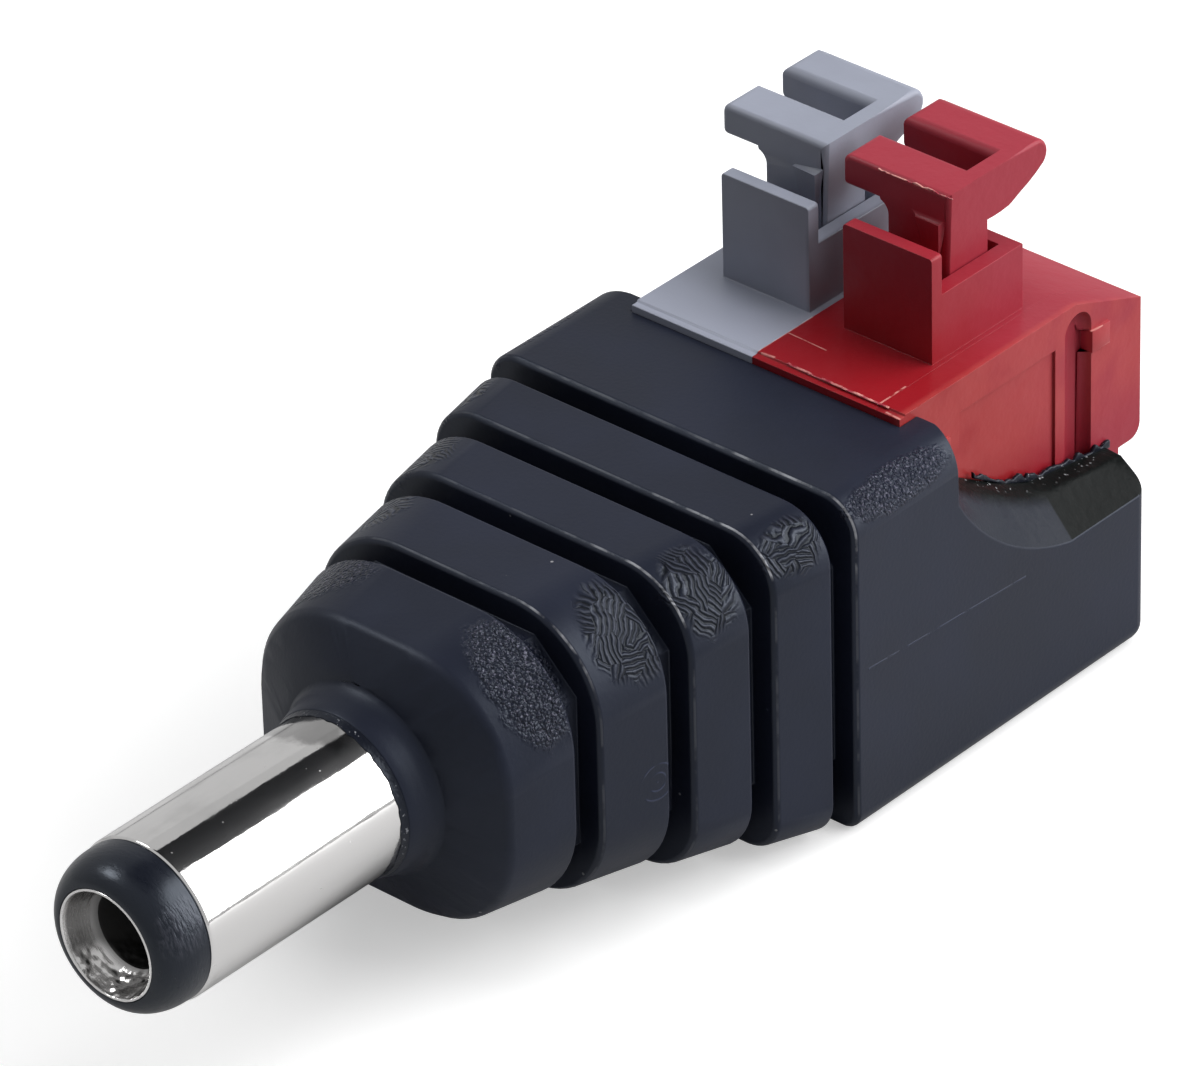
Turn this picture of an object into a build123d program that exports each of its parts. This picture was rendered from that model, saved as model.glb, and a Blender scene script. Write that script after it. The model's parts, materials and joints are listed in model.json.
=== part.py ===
from build123d import *
import math
import os

# DC barrel plug with two push-lever spring terminals, in millimetres.
# The barrel lies along Y with its mouth towards -Y, +Z is up, and the origin is
# on the barrel's axis, in the front plane of the moulded collar.

# Barrel
barrel_r = 2.75
barrel_len = 9.55
sleeve_wall = 0.55
sleeve_edge = 0.1
shank_r = 2.55
shank_len = 3.4
flange_r = 3.6
flange_y = 1.3
flange_len = 0.9
fit_gap = 0.02

# Black insulator between the sleeve and the centre contact
tip_len = 1.72
tip_step = 0.06
tip_straight = 0.35
tip_draft = 0.02

# Centre contact
bore_r = 1.05
bore_len = 11.5
contact_wall = 0.5
mouth_r = 1.9
rim_wall = 0.1
flare_len = 1.0
funnel_len = 2.3
tail_r = 1.2
tail_len = 2.2
tail_y = 3.5

# Insulating washer and solder tags
washer_r = 2.6
washer_t = 0.9
tag_t = 0.4
tag_ring_wall = 0.7
tag_tail_w = 1.4
tag_tail_z = -3.3
tag_end_y = 9.0

# Leads from the tags to the terminal pins
lead_r = 0.3
jacket_wall = 0.28
lead_start_y = 7.6
jacket_start_y = 9.3
jacket_end_gap = 0.9
solder_r = 0.62
solder_len = 1.2
pin_solder_r = 0.85
pin_solder_len = 1.3

# Moulded body: collar, nose, three ribs and the block
collar_r = 3.3
collar_edge = 0.15
collar_lip_len = 1.0
collar_lip_wall = 0.12
nose_y = 1.0
nose_dome = 0.85
dome_corner_r = 3.25
nose_len = 2.6
rib_lens = (2.7, 2.35, 2.35)
groove_w = 0.85
groove_depth = 0.9
core_bite = 0.3
core_corner = 1.6
nose_half_w = 5.15
nose_top = 4.8
nose_bottom = -4.85
nose_corner_r = 4.0
nose_edge = 0.2
rib_top = 5.25
rib_edge = 0.13
growth_power = 1.5
block_half_w = 7.55
block_top = 5.75
block_bottom = -6.4
block_corner_r = 1.3
block_bottom_corner_r = 0.7
block_len = 14.6
block_edge = 0.15
block_rear_r = 0.6
mould_gap = 0.02

# Scooped side walls beside the terminal
scoop_front_y = 19.65
scoop_drop_run = 0.1
scoop_shelf_w = 0.75
scoop_shelf_fall = 0.3
scoop_inner_drop_z = 3.9
scoop_corner_y = 25.0
scoop_inner_z = 0.8
scoop_inner_rear_z = -0.05
scoop_inner_sag = 0.2
scoop_outer_front_y = 19.35
scoop_outer_drop_z = 3.3
scoop_outer_z = -0.8
scoop_outer_sag = 0.7
scoop_over = 1.0

# Terminal: two poles side by side and an end cover
pitch = 5.0
seam_x = -0.35
cover_t = 1.0
term_y = 18.85
term_len = 12.05
term_top = 6.05
term_bottom = -2.2
slope_y = 27.6
term_rear_top = 4.8
step_z = -0.35
step_len = 1.1
pole_side_wall = 0.9
pole_front_wall = 1.15
pole_floor = 0.7
pole_ceiling = 0.5
pole_rear_wall = 0.6
peg_w = 0.8
peg_len = 0.8
peg_gap = 0.03
peg_rear_z = 4.05

# Wire entries in the rear face
entry_r = 1.3
entry_mouth_r = 1.75
entry_mouth_len = 0.6
entry_z = 1.6

# Lever guide box on each pole
box_x = 1.2
box_w = 3.6
box_y = 21.9
box_len = 4.5
box_wall_z = 8.4
plate_z = 9.87
plate_t = 0.5
box_left_wall = 0.48
box_right_wall = 0.57
box_rear_wall = 0.5

# Lever
lever_gap = 0.05
head_w = 4.3
head_y = 23.5
head_len = 4.95
head_top = 11.2
head_t = 1.1
head_end_r = 0.55
head_end_turn = 50.0
head_under_drop = 0.6
head_under_rise = 0.1
head_side_r = 0.3
head_web_r = 0.45
neck_len = 1.9
slot_y = 25.3
slot_w = 1.2
slot_bridge = 0.58
slot_edge_r = 0.3
pad_t = 0.15
pad_top_w = 0.95
pad_bottom_w = 0.6
pad_h = 1.1
pad_inset = 0.3
foot_top = 7.2
foot_gap = 0.05
catch_t = 0.45
catch_over = 0.4

# Busbar and clamp spring in each pole
bar_t = 0.5
bar_w = 3.0
bar_z = 2.6
bar_y = 20.3
bar_end_y = 28.2
tongue_w = 1.7
tongue_y = 26.7
pin_w = 1.0
pin_len = 2.2
pin_gap = 0.06
spring_t = 0.3
spring_w = 3.0
bend_r = 0.65
spring_front_y = 22.4
plate_front_y = 27.2
window_w = 2.0
window_gap = 0.05
window_bar = 0.9

# Details on the end cover's outer face
panel_depth = 0.1
panel_y = 21.75
panel_end_y = 26.55
panel_z = 4.85
channel_r = 0.72
channel_y = 27.7
channel_top_z = 5.0
channel_depth = 0.45
lug_y = 28.0
lug_len = 1.2
lug_z = 3.95
lug_h = 0.8
lug_proud = 0.1
front_lug_y = 20.8
front_lug_r = 0.42
front_lug_z = 3.9
front_lug_h = 0.35

# Places that follow from the sizes above
block_y = nose_y + nose_len + sum(rib_lens) + groove_w * (len(rib_lens) + 1)
block_rear_y = block_y + block_len
term_rear_y = term_y + term_len
grey_x = seam_x - pitch
cover_x = seam_x + pitch
cover_out_x = cover_x + cover_t
cavity_top = term_top - pole_ceiling
cavity_floor = term_bottom + pole_floor
cavity_y = term_y + pole_front_wall
cavity_rear_y = term_rear_y - step_len - pole_rear_wall
pole_mid = (pole_side_wall + pitch) / 2
chute_x = box_x + box_left_wall
chute_right = box_x + box_w - box_right_wall
chute_y = box_y + plate_t
chute_rear_y = box_y + box_len - box_rear_wall
bar_top = bar_z + bar_t
spring_top = cavity_top - lever_gap - catch_t - lever_gap
lead_z = tag_tail_z + lead_r
negative_x = grey_x + pole_mid
positive_x = seam_x + pole_mid
contact_r = bore_r + contact_wall
shank_y = -collar_lip_len - mould_gap
sleeve_tag_y = flange_y + flange_len
centre_tag_y = shank_len + washer_t
sleeve_ring_r = shank_r + fit_gap + tag_ring_wall
centre_ring_r = tail_r + fit_gap + tag_ring_wall
lead_end_y = bar_y + bar_t / 2 - pin_solder_r - fit_gap
sleeve_bore_r = barrel_r - sleeve_wall


def station(y):
    return Plane(origin=(0, y, 0), x_dir=(1, 0, 0), z_dir=(0, -1, 0))


def side_plane(x):
    return Plane.YZ.offset(x)


def box_between(low, high):
    size = [b - a for a, b in zip(low, high)]
    middle = [(a + b) / 2 for a, b in zip(low, high)]
    return Pos(*middle) * Box(*size)


def rod_y(r, y0, y1, x=0, z=0):
    return Pos(x, (y0 + y1) / 2, z) * Rot(90, 0, 0) * Cylinder(r, y1 - y0)


def rod_x(r, x0, x1, y, z):
    return Pos((x0 + x1) / 2, y, z) * Rot(0, 90, 0) * Cylinder(r, x1 - x0)


def turned(points):
    # points are (radius, y) pairs round half a section
    return revolve(make_face(Polyline(*points, close=True)), Axis.Y)


def outer_edges(solid, y):
    return solid.edges().filter_by(lambda e: all(abs((e @ t).Y - y) < 0.001 for t in (0, 0.5, 1)))


# Barrel and contacts


def barrel_sleeve():
    front = -barrel_len
    return turned([
        (sleeve_bore_r, front), (barrel_r - sleeve_edge, front), (barrel_r, front + sleeve_edge),
        (barrel_r, shank_y), (shank_r, shank_y), (shank_r, flange_y), (flange_r, flange_y),
        (flange_r, flange_y + flange_len), (shank_r, flange_y + flange_len), (shank_r, shank_len),
        (sleeve_bore_r, shank_len)])


def tip_insulator():
    front = -barrel_len - tip_len
    ring_r = barrel_r - tip_step
    seat_r = contact_r + fit_gap
    tube_r = sleeve_bore_r - fit_gap
    shoulder = -barrel_len - tip_straight
    bend = math.sin(math.radians(45))
    shoulder_r = ring_r - tip_draft
    nose_middle = (mouth_r + (shoulder_r - mouth_r) * bend, shoulder - (shoulder - front) * bend)
    nose_arc = ThreePointArc((shoulder_r, shoulder), nose_middle, (mouth_r, front))
    outline = Curve() + [
        Polyline(
            (seat_r, shank_len), (tube_r, shank_len), (tube_r, -barrel_len), (ring_r, -barrel_len),
            (shoulder_r, shoulder)),
        nose_arc,
        Polyline((mouth_r, front), (seat_r, front + flare_len), (seat_r, shank_len))]
    return revolve(make_face(outline), Axis.Y)


def centre_contact():
    front = -barrel_len - tip_len
    tail_end = tail_y + tail_len
    bore_start = front + funnel_len
    lip_r = mouth_r - fit_gap
    return turned([
        (lip_r - rim_wall, front), (lip_r, front), (contact_r, front + flare_len),
        (contact_r, tail_y), (tail_r, tail_y), (tail_r, tail_end), (0, tail_end),
        (0, bore_start + bore_len), (bore_r, bore_start + bore_len), (bore_r, bore_start)])


def rear_insulator():
    hole_r = contact_r + fit_gap
    return rod_y(washer_r, shank_len, shank_len + washer_t) - rod_y(hole_r, shank_len, shank_len + washer_t)


def tag(y, hole_r, ring_r, x):
    # A ring round its contact, an arm down from it and a tail bent back along Y
    arm_x = (x - tag_tail_w / 2, x + tag_tail_w / 2)
    tail_bottom = tag_tail_z - tag_t
    arm = box_between((arm_x[0], y, tail_bottom), (arm_x[1], y + tag_t, 0))
    bridge_x = sorted((0, x))
    bridge = box_between((bridge_x[0], y, -ring_r), (bridge_x[1], y + tag_t, 0))
    tail = box_between((arm_x[0], y, tail_bottom), (arm_x[1], tag_end_y, tag_tail_z))
    hole = rod_y(hole_r, y, y + tag_t)
    return rod_y(ring_r, y, y + tag_t) + arm + bridge + tail - hole


def sleeve_tag():
    return tag(sleeve_tag_y, shank_r + fit_gap, sleeve_ring_r, negative_x)


def centre_tag():
    return tag(centre_tag_y, tail_r + fit_gap, centre_ring_r, positive_x)


# Leads and solder


def lead_core(x):
    return rod_y(lead_r, lead_start_y + solder_len + fit_gap, lead_end_y, x, lead_z)


def lead_jacket(x):
    end = bar_y - jacket_end_gap
    bore = lead_r + fit_gap
    return (rod_y(bore + jacket_wall, jacket_start_y, end, x, lead_z)
            - rod_y(bore, jacket_start_y, end, x, lead_z))


def tag_solder(x):
    end = lead_start_y + solder_len
    bead = rod_y(solder_r, lead_start_y, end, x, lead_z)
    return bead - box_between(
        (x - solder_r, lead_start_y, tag_tail_z - solder_r), (x + solder_r, end, tag_tail_z))


def pin_solder(x):
    bead = Pos(x, bar_y + bar_t / 2, lead_z) * Cylinder(pin_solder_r, pin_solder_len)
    return bead - box_between(
        (x - pin_w / 2, bar_y, lead_z - pin_solder_len),
        (x + pin_w / 2, bar_y + bar_t, lead_z + pin_solder_len))


# Moulded body


def between(a, b, t):
    return a + (b - a) * t


def top_at(y):
    if y < nose_y + nose_len:
        return between(nose_top, rib_top, (y - nose_y) / nose_len)
    start = nose_y + nose_len
    return between(rib_top, block_top, (y - start) / (block_y - start))


def growth(y):
    return (y - nose_y) / (block_y - nose_y)


def body_size(y, inset):
    # Half width, bottom and top of the tapered body at y
    half_w = between(nose_half_w, block_half_w, growth(y)) - inset
    bottom = between(nose_bottom, block_bottom, growth(y) ** growth_power) + inset
    return half_w, bottom, top_at(y) - inset


def wedge(y0, y1, inset=0):
    half_0, bottom_0, top_0 = body_size(y0, inset)
    half_1, bottom_1, top_1 = body_size(y1, inset)
    side = make_face(Polyline((y0, bottom_0), (y1, bottom_1), (y1, top_1), (y0, top_0), close=True))
    plan = make_face(Polyline((-half_0, y0), (half_0, y0), (half_1, y1), (-half_1, y1), close=True))
    solid = extrude(side_plane(-block_half_w) * side, 2 * block_half_w)
    return solid & extrude(Plane.XY.offset(block_bottom) * plan, block_top - block_bottom)


def corner_edges(solid, y0, y1):
    long = solid.edges().filter_by(lambda e: abs(abs((e @ 0).Y - (e @ 1).Y) - (y1 - y0)) < 0.001)
    return long.sort_by(Axis.Z)


def tapered(y0, y1):
    # Flat tapered sides, with corners rounded as at mid-length
    grown = growth((y0 + y1) / 2) ** growth_power
    solid = wedge(y0, y1)
    solid = fillet(corner_edges(solid, y0, y1)[2:], between(nose_corner_r, block_corner_r, grown))
    low_corner = between(nose_corner_r, block_bottom_corner_r, grown)
    return fillet(corner_edges(solid, y0, y1)[:2], low_corner)


def rounded_section(y, half_w, bottom, top, corner, low_corner):
    outline = Pos(0, (top + bottom) / 2) * Rectangle(2 * half_w, top - bottom)
    corners = outline.vertices().sort_by(Axis.Y)
    outline = fillet(corners[:2], low_corner)
    corners = outline.vertices().filter_by(lambda v: abs(v.Y - top) < 0.001)
    return station(y) * fillet(corners, corner)


def nose():
    rear = nose_y + nose_len
    solid = tapered(nose_y, rear)
    face = solid.faces().sort_by(Axis.Y)[0]
    tip = rounded_section(nose_y - nose_dome, collar_r, -collar_r, collar_r, dome_corner_r, dome_corner_r)
    solid += loft([tip, face], ruled=True)
    solid = chamfer(outer_edges(solid, nose_y), nose_edge)
    return chamfer(outer_edges(solid, rear), rib_edge)


def rib(y, length):
    solid = tapered(y, y + length)
    return chamfer(outer_edges(solid, y) + outer_edges(solid, y + length), rib_edge)


def groove_core(y):
    start = y - core_bite
    end = y + groove_w + core_bite
    solid = wedge(start, end, groove_depth)
    return chamfer(corner_edges(solid, start, end), core_corner)


def collar():
    # A low ring on the nose, with a tapered lip that hugs the barrel
    return turned([
        (0, -collar_lip_len), (barrel_r + collar_lip_wall, -collar_lip_len), (collar_r - collar_edge, 0),
        (collar_r, collar_edge), (collar_r, nose_y), (0, nose_y)])


def block():
    face = rounded_section(
        block_rear_y, block_half_w, block_bottom, block_top, block_corner_r, block_bottom_corner_r)
    solid = extrude(face, block_len)
    solid = chamfer(outer_edges(solid, block_y), block_edge)
    return fillet(outer_edges(solid, block_rear_y), block_rear_r)


def scoop_face(x, front_y, drop_z, corner_z, rear_z, sag):
    # The area above the wall's top edge: a steep drop, an arc and a straight run to the rear
    high = block_top + scoop_over
    rear_y = block_rear_y + scoop_over
    arc_y = front_y + scoop_drop_run
    run = scoop_corner_y - arc_y
    drop = drop_z - corner_z
    chord = math.hypot(run, drop)
    middle = (arc_y + run / 2 - sag * drop / chord, drop_z - drop / 2 - sag * run / chord)
    edge = Curve() + [
        Line((front_y, high), (arc_y, drop_z)),
        ThreePointArc((arc_y, drop_z), middle, (scoop_corner_y, corner_z)),
        Polyline((scoop_corner_y, corner_z), (rear_y, rear_z), (rear_y, high), (front_y, high))]
    return side_plane(x) * make_face(edge)


def scoop(inner_x, outer_x):
    way = 1 if outer_x > inner_x else -1
    inner = scoop_face(
        inner_x, scoop_front_y, scoop_inner_drop_z, scoop_inner_z, scoop_inner_rear_z, scoop_inner_sag)
    shelf = scoop_face(
        inner_x + way * scoop_shelf_w, scoop_front_y, scoop_inner_drop_z - scoop_shelf_fall,
        scoop_inner_z - scoop_shelf_fall, scoop_inner_rear_z, scoop_inner_sag)
    outer = scoop_face(
        outer_x, scoop_outer_front_y, scoop_outer_drop_z, scoop_outer_z, scoop_outer_z, scoop_outer_sag)
    cut = loft([inner, shelf], ruled=True) + loft([shelf, outer], ruled=True)
    return cut + extrude(inner, -way * scoop_over) + extrude(outer, way * scoop_over)


def terminal_pocket():
    return box_between(
        (grey_x, term_y, term_bottom),
        (cover_out_x, block_rear_y + scoop_over, block_top + scoop_over))


def tag_pocket(x, y, ring_r):
    g = mould_gap
    sides = sorted((0, x))
    left = x - tag_tail_w / 2 - g
    right = x + tag_tail_w / 2 + g
    under = tag_tail_z - tag_t - g
    bridge = box_between((sides[0] - g, y - g, -ring_r - g), (sides[1] + g, y + tag_t + g, g))
    arm = box_between((left, y - g, under), (right, y + tag_t + g, g))
    tail = box_between((left, y - g, under), (right, tag_end_y + g, tag_tail_z + g))
    return bridge + arm + tail


def lead_pocket(x):
    g = mould_gap
    run = solder_r + g
    middle = bar_y + bar_t / 2
    bead = pin_solder_r + g
    height = pin_solder_len / 2 + g
    pocket = box_between((x - run, lead_start_y, lead_z - run), (x + run, bar_y, lead_z + run))
    pocket += box_between(
        (x - bead, middle - bead, lead_z - height), (x + bead, middle + bead, lead_z + height))
    return pocket + box_between(
        (x - pin_w / 2 - g, bar_y - g, term_bottom - pin_len - g),
        (x + pin_w / 2 + g, bar_y + bar_t + g, term_bottom))


def buried_pockets():
    # One stepped bore for the contacts and their rings, then the tags and the leads
    g = mould_gap
    bore = turned([
        (0, shank_y), (shank_r + g, shank_y), (shank_r + g, flange_y - g), (flange_r + g, flange_y - g),
        (flange_r + g, sleeve_tag_y + tag_t + g), (washer_r + g, sleeve_tag_y + tag_t + g),
        (washer_r + g, centre_tag_y + tag_t + g), (tail_r + g, centre_tag_y + tag_t + g),
        (tail_r + g, tail_y + tail_len + g), (0, tail_y + tail_len + g)])
    negative = tag_pocket(negative_x, sleeve_tag_y, sleeve_ring_r) + lead_pocket(negative_x)
    positive = tag_pocket(positive_x, centre_tag_y, centre_ring_r) + lead_pocket(positive_x)
    return bore + negative + positive


def moulded_body():
    y = nose_y + nose_len
    solid = block() + nose() + collar() + groove_core(y)
    for length in rib_lens:
        y += groove_w
        solid += rib(y, length)
        y += length
        solid += groove_core(y)
    solid -= terminal_pocket()
    solid -= scoop(cover_out_x, block_half_w)
    solid -= scoop(grey_x, -block_half_w)
    return solid - buried_pockets()


# Terminal poles


def pole_profile():
    return make_face(Polyline(
        (term_y, term_top), (slope_y, term_top), (term_rear_y, term_rear_top), (term_rear_y, step_z),
        (term_rear_y - step_len, step_z), (term_rear_y - step_len, term_bottom), (term_y, term_bottom),
        close=True))


def peg_places():
    front = (term_y + pole_front_wall / 2, (step_z + term_top) / 2)
    rear = (term_rear_y - step_len + peg_w / 4, peg_rear_z)
    return front, rear


def pegs(x, width, length):
    low, high = [
        box_between((x - length, y - width / 2, z - width / 2), (x, y + width / 2, z + width / 2))
        for y, z in peg_places()]
    return low + high


def pole_cavity(x):
    # Open on the +X side, with its ceiling parallel to the sloped top at the rear
    fall = (term_top - term_rear_top) / (term_rear_y - slope_y)
    side = make_face(Polyline(
        (cavity_y, cavity_floor), (cavity_rear_y, cavity_floor),
        (cavity_rear_y, cavity_top - fall * (cavity_rear_y - slope_y)), (slope_y, cavity_top),
        (cavity_y, cavity_top), close=True))
    return extrude(side_plane(x + pole_side_wall) * side, pitch - pole_side_wall)


def lever_box(x):
    outer = box_between((x + box_x, box_y, term_top), (x + box_x + box_w, box_y + box_len, box_wall_z))
    plate = box_between((x + box_x, box_y, term_top), (x + box_x + box_w, box_y + plate_t, plate_z))
    return outer + plate


def lever_chute(x):
    return box_between((x + chute_x, chute_y, cavity_top), (x + chute_right, chute_rear_y, box_wall_z))


def wire_entry(x):
    mid = x + pole_mid
    funnel = Pos(mid, term_rear_y - entry_mouth_len / 2, entry_z) * Rot(-90, 0, 0) * Cone(
        entry_r, entry_mouth_r, entry_mouth_len)
    return funnel + rod_y(entry_r, cavity_rear_y, term_rear_y, mid, entry_z)


def pin_hole(x):
    mid = x + pole_mid
    g = pin_gap
    return box_between(
        (mid - pin_w / 2 - g, bar_y - g, term_bottom),
        (mid + pin_w / 2 + g, bar_y + bar_t + g, cavity_floor))


def housing(x):
    solid = extrude(side_plane(x) * pole_profile(), pitch) + lever_box(x)
    solid -= pole_cavity(x)
    solid -= lever_chute(x)
    solid -= wire_entry(x)
    solid -= pin_hole(x)
    return solid - pegs(x + pitch, peg_w + 2 * peg_gap, peg_len + peg_gap)


def grey_housing():
    return housing(grey_x)


def red_housing():
    return housing(seam_x) + pegs(seam_x, peg_w, peg_len)


def channel_cut():
    # A half-round upright groove with a domed top
    depth_x = cover_out_x + channel_r - channel_depth
    groove = Pos(depth_x, channel_y, (term_bottom + channel_top_z) / 2) * Cylinder(
        channel_r, channel_top_z - term_bottom)
    return groove + Pos(depth_x, channel_y, channel_top_z) * Sphere(channel_r)


def end_cover():
    solid = extrude(side_plane(cover_x) * pole_profile(), cover_t)
    solid -= box_between(
        (cover_out_x - panel_depth, panel_y, term_bottom), (cover_out_x, panel_end_y, panel_z))
    solid -= channel_cut()
    solid += box_between(
        (cover_out_x - channel_depth, lug_y, lug_z),
        (cover_out_x + lug_proud, lug_y + lug_len, lug_z + lug_h))
    front_lug = box_between(
        (cover_out_x, front_lug_y - front_lug_r, front_lug_z),
        (cover_out_x + panel_depth, front_lug_y + front_lug_r, front_lug_z + front_lug_h))
    front_lug += rod_x(front_lug_r, cover_out_x, cover_out_x + panel_depth, front_lug_y, front_lug_z)
    solid += front_lug
    return solid + pegs(cover_x, peg_w, peg_len)


# Levers


def lever_profile():
    # Side view: neck, head and the head's rounded rear end
    end_y = head_y + head_len - head_end_r
    end_z = head_top - head_end_r
    neck_rear = head_y + neck_len
    under = head_top - head_t - head_under_drop
    turn = math.radians(head_end_turn)
    low_end = (end_y + head_end_r * math.cos(turn), end_z - head_end_r * math.sin(turn))
    edge = Curve() + [
        Polyline(
            (neck_rear, under), (neck_rear, foot_top), (head_y, foot_top), (head_y, head_top),
            (end_y, head_top)),
        ThreePointArc((end_y, head_top), (end_y + head_end_r, end_z), low_end),
        Spline(low_end, (between(low_end[0], neck_rear, 0.5), under + head_under_rise), (neck_rear, under))]
    return make_face(edge)


def lever(x):
    right = x + chute_right - lever_gap
    left = right - head_w
    neck_left = x + chute_x + lever_gap
    solid = extrude(side_plane(left) * lever_profile(), head_w)
    underside = head_top - head_t
    cut = box_between((left, head_y, foot_top), (neck_left, head_y + head_len, underside))
    cut = fillet(cut.edges().filter_by(Axis.Y).sort_by(Axis.X)[-2:].sort_by(Axis.Z)[-1], head_web_r)
    solid -= cut
    slot_rear_y = slot_y + slot_w
    slot = box_between((left, slot_y, underside - head_t), (right - slot_bridge, slot_rear_y, head_top))
    solid -= slot
    top_edges = solid.edges().filter_by(Axis.X).filter_by(lambda e: e.center().Z > head_top - 0.001)
    slot_edges = top_edges.filter_by(lambda e: slot_y - 0.001 < e.center().Y < slot_rear_y + 0.001)
    solid = fillet(slot_edges, slot_edge_r)
    limit = box_between((left, head_y, foot_top), (right, head_y + head_len, head_top))
    solid &= fillet(limit.edges().filter_by(Axis.Y).sort_by(Axis.Z)[2:].sort_by(Axis.X)[0], head_side_r)
    foot = box_between(
        (neck_left, chute_y + foot_gap, cavity_top - lever_gap - catch_t),
        (right, chute_rear_y - foot_gap, foot_top))
    catch = box_between(
        (neck_left - catch_over, chute_y - catch_over, cavity_top - lever_gap - catch_t),
        (right + catch_over, chute_rear_y + catch_over, cavity_top - lever_gap))
    pad_right = right - pad_inset
    pad_low = head_top - head_t - pad_h
    pad_face = station(head_y) * make_face(Polyline(
        (pad_right, head_top - head_t), (pad_right - pad_top_w, head_top - head_t),
        (pad_right - pad_bottom_w, pad_low), (pad_right, pad_low), close=True))
    return solid + foot + catch + extrude(pad_face, pad_t)


def grey_lever():
    return lever(grey_x)


def red_lever():
    return lever(seam_x)


# Busbars and clamp springs


def busbar(x):
    mid = x + pole_mid
    bar = box_between((mid - bar_w / 2, bar_y, bar_z), (mid + bar_w / 2, tongue_y, bar_top))
    tongue = box_between((mid - tongue_w / 2, tongue_y, bar_z), (mid + tongue_w / 2, bar_end_y, bar_top))
    upright = box_between((mid - bar_w / 2, bar_y, cavity_floor), (mid + bar_w / 2, bar_y + bar_t, bar_z))
    pin = box_between(
        (mid - pin_w / 2, bar_y, term_bottom - pin_len), (mid + pin_w / 2, bar_y + bar_t, cavity_floor))
    return bar + tongue + upright + pin


def clamp_spring(x):
    # One strip: leg on the busbar, loop at the front, top leg, and the plate with its window
    mid = x + pole_mid
    low = bar_top + fit_gap
    high = spring_top - spring_t
    loop_r = (high - low + spring_t) / 2
    t = spring_t / 2
    start_y = tongue_y - spring_t
    bend_y = plate_front_y + t - bend_r
    bend_z = high + t - bend_r
    middle = bend_r * math.sin(math.radians(45))
    line = Curve() + [
        Line((start_y, low + t), (spring_front_y, low + t)),
        ThreePointArc(
            (spring_front_y, low + t), (spring_front_y - loop_r, low + t + loop_r),
            (spring_front_y, high + t)),
        Line((spring_front_y, high + t), (bend_y, high + t)),
        ThreePointArc(
            (bend_y, high + t), (bend_y + middle, bend_z + middle), (plate_front_y + t, bend_z)),
        Line((plate_front_y + t, bend_z), (plate_front_y + t, bar_z - window_bar))]
    strip = make_face(offset(line, t, kind=Kind.INTERSECTION))
    solid = extrude(side_plane(mid - spring_w / 2) * strip, spring_w)
    window = box_between(
        (mid - window_w / 2, plate_front_y - window_gap, bar_z - window_gap),
        (mid + window_w / 2, plate_front_y + spring_t + window_gap, bar_top + spring_t + window_gap))
    return solid - window


parts = {
    "moulded_body": moulded_body(),
    "barrel_sleeve": barrel_sleeve(),
    "tip_insulator": tip_insulator(),
    "centre_contact": centre_contact(),
    "rear_insulator": rear_insulator(),
    "sleeve_tag": sleeve_tag(),
    "centre_tag": centre_tag(),
    "negative_lead": lead_core(negative_x),
    "positive_lead": lead_core(positive_x),
    "negative_lead_jacket": lead_jacket(negative_x),
    "positive_lead_jacket": lead_jacket(positive_x),
    "sleeve_tag_solder": tag_solder(negative_x),
    "centre_tag_solder": tag_solder(positive_x),
    "grey_pin_solder": pin_solder(negative_x),
    "red_pin_solder": pin_solder(positive_x),
    "grey_housing": grey_housing(),
    "red_housing": red_housing(),
    "end_cover": end_cover(),
    "grey_lever": grey_lever(),
    "red_lever": red_lever(),
    "grey_busbar": busbar(grey_x),
    "red_busbar": busbar(seam_x),
    "grey_clamp_spring": clamp_spring(grey_x),
    "red_clamp_spring": clamp_spring(seam_x),
}

os.makedirs("parts", exist_ok=True)
for name, solid in parts.items():
    export_step(solid, f"parts/{name}.step")
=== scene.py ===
import json
import math

import bmesh
import bpy
from bpy.props import FloatProperty, FloatVectorProperty, IntProperty, PointerProperty
from bpy.types import Operator, Panel, PropertyGroup
from mathutils import Matrix, Vector, noise


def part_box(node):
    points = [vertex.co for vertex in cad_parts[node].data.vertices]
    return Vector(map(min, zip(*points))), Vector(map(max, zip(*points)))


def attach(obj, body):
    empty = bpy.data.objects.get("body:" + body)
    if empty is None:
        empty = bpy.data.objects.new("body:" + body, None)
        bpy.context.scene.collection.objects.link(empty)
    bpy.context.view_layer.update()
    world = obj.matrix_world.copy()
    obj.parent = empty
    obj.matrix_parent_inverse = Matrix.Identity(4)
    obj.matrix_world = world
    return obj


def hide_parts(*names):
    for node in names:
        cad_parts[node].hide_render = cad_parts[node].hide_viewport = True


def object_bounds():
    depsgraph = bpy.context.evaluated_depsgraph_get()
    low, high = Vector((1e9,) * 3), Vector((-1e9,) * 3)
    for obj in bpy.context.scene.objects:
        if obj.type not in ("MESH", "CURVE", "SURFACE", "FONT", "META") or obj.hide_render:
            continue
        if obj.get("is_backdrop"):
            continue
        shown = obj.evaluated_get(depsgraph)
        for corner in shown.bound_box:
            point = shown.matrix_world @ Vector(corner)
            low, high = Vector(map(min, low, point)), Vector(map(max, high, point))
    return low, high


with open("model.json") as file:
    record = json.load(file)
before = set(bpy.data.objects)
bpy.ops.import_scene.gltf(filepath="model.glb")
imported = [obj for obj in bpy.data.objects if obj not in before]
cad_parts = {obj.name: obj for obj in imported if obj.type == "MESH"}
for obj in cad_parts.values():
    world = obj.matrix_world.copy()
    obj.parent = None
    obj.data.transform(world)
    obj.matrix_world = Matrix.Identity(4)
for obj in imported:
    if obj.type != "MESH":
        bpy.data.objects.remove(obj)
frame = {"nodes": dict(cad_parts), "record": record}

bl_info = {
    "name": "Barrel plug with lever terminals",
    "version": (1, 0, 0),
    "blender": (4, 5, 0),
    "location": "View3D > Sidebar > Barrel plug",
    "description": "Dresses a DC barrel plug with push-lever terminals and sets up its studio",
    "category": "Object",
}

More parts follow.
